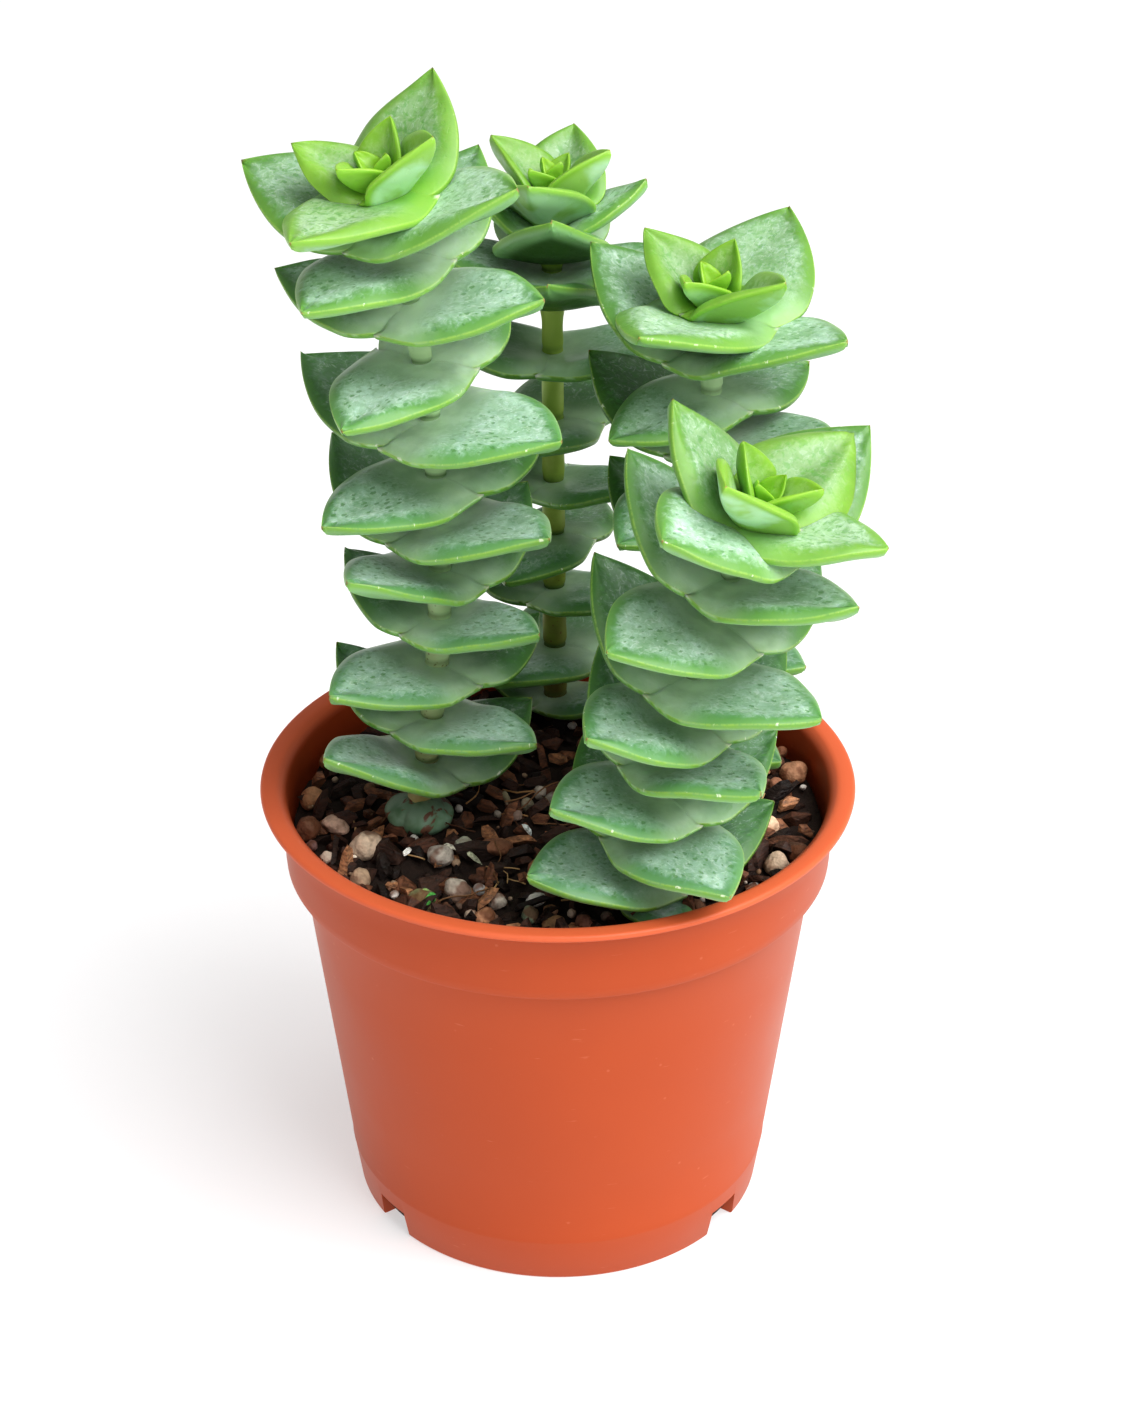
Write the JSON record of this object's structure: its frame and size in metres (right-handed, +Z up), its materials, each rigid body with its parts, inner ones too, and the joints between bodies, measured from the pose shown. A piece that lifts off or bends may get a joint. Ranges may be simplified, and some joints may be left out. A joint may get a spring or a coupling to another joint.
{
  "type": "potted string of buttons succulent",
  "caption": "Potted succulent with upright stems threaded through stacked pairs of fleshy pointed leaves, topped by open rosettes, in a round tapered nursery pot filled with bark and grit.",
  "frame": {"origin": "middle of the pot's base, on the surface it stands on", "axes": "+Z up along the pot's axis, -Y the front of the plant, +X to the right seen from the front"},
  "size_m": [0.09, 0.1068, 0.1801],
  "materials": {
    "pot_plastic": "injection-moulded polypropylene, terracotta orange, satin",
    "potting_mix": "damp peat with bark chips and pale grit, matt",
    "leaf": "fleshy waxy leaf, grey-green bloom, yellow-green margins"
  },
  "bodies": {
    "root": {"pot": "pot_plastic", "soil": "potting_mix", "stem_front_left": "leaf", "stem_back": "leaf", "stem_back_right": "leaf", "stem_front_right": "leaf"}
  },
  "joints": []
}
